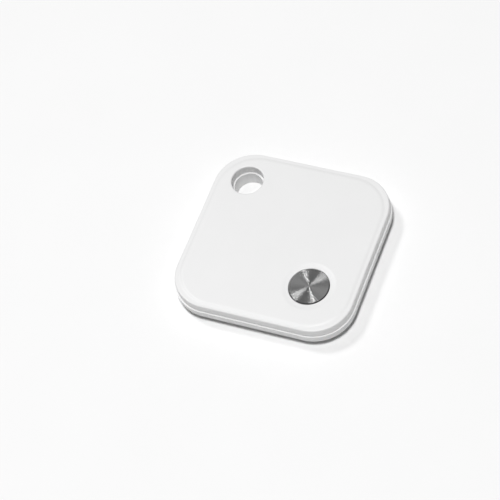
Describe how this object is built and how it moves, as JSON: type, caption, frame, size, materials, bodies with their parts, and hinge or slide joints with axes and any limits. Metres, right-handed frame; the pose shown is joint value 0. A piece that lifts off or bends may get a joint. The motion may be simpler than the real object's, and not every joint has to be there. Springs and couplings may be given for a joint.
{
  "type": "bluetooth tracker tag",
  "caption": "Thin white rounded-square key tag with a spun-metal push button in one corner and a key-ring hole in the opposite one.",
  "frame": {"origin": "centre of the back face, the side that rests on a table", "axes": "+Z out of the front face; the key-ring hole is towards -X +Y and the button towards +X -Y"},
  "size_m": [0.034, 0.034, 0.0047],
  "materials": {
    "white_shell": "satin",
    "spun_metal": "spun with fine circular lines",
    "cap_plastic": "satin",
    "adhesive": "matte double-sided tape",
    "seal_rubber": "matte",
    "silicone": "matte",
    "foam": "matte foam",
    "board_laminate": "satin solder mask",
    "gold_plate": "plated",
    "chip_resin": "matte moulded",
    "component_ceramic": "matte",
    "antenna_ceramic": "satin",
    "ferrite": "matte",
    "crystal_can": "satin",
    "switch_resin": "matte moulded",
    "spring_steel": "satin",
    "cell_steel": "satin",
    "cell_polymer": "matte",
    "cathode_mass": "matte pressed powder",
    "lithium": "dull",
    "contact_strip": "tinned",
    "buzzer_brass": "satin",
    "piezo_ceramic": "silvered"
  },
  "bodies": {
    "casing": {"front_cover": "white_shell", "rear_cover": "white_shell", "seam_seal": "seal_rubber", "hole_seal": "seal_rubber", "button_pad": "silicone", "switch_base": "switch_resin", "switch_frame": "spring_steel", "switch_dome": "spring_steel", "switch_terminals": "contact_strip", "circuit_board": "board_laminate", "capacitors": "component_ceramic", "resistors": "chip_resin", "test_pads": "gold_plate", "radio_chip": "chip_resin", "main_crystal": "crystal_can", "clock_crystal": "crystal_can", "chip_antenna": "antenna_ceramic", "buzzer_driver": "chip_resin", "boost_inductor": "ferrite", "cell_can": "cell_steel", "cell_cap": "cell_steel", "cell_gasket": "cell_polymer", "cell_anode": "lithium", "cell_separator": "cell_polymer", "cell_cathode": "cathode_mass", "positive_tab": "contact_strip", "negative_tab": "contact_strip", "cell_pad": "foam", "buzzer_tape": "adhesive", "buzzer_plate": "buzzer_brass", "buzzer_ceramic": "piezo_ceramic", "plate_contact": "spring_steel", "ceramic_contact": "spring_steel"},
    "button": {"button_disc": "spun_metal", "button_tape": "adhesive", "button_cap": "cap_plastic"},
    "plunger": {"switch_plunger": "switch_resin"}
  },
  "joints": [
    {"name": "button_press", "type": "slide", "parent": "casing", "child": "button", "axis": [0, 0, -1], "range_m": [0, 0.00025], "stiffness_N_per_m": 4000, "springref_m": -0.0003, "deforming": ["button_pad", "switch_dome"]},
    {"name": "switch_travel", "type": "slide", "parent": "casing", "child": "plunger", "axis": [0, 0, -1], "range_m": [0, 0.00025]}
  ],
  "couplings": [
    {"joint": "switch_travel", "follows": "button_press", "ratio": 1}
  ]
}
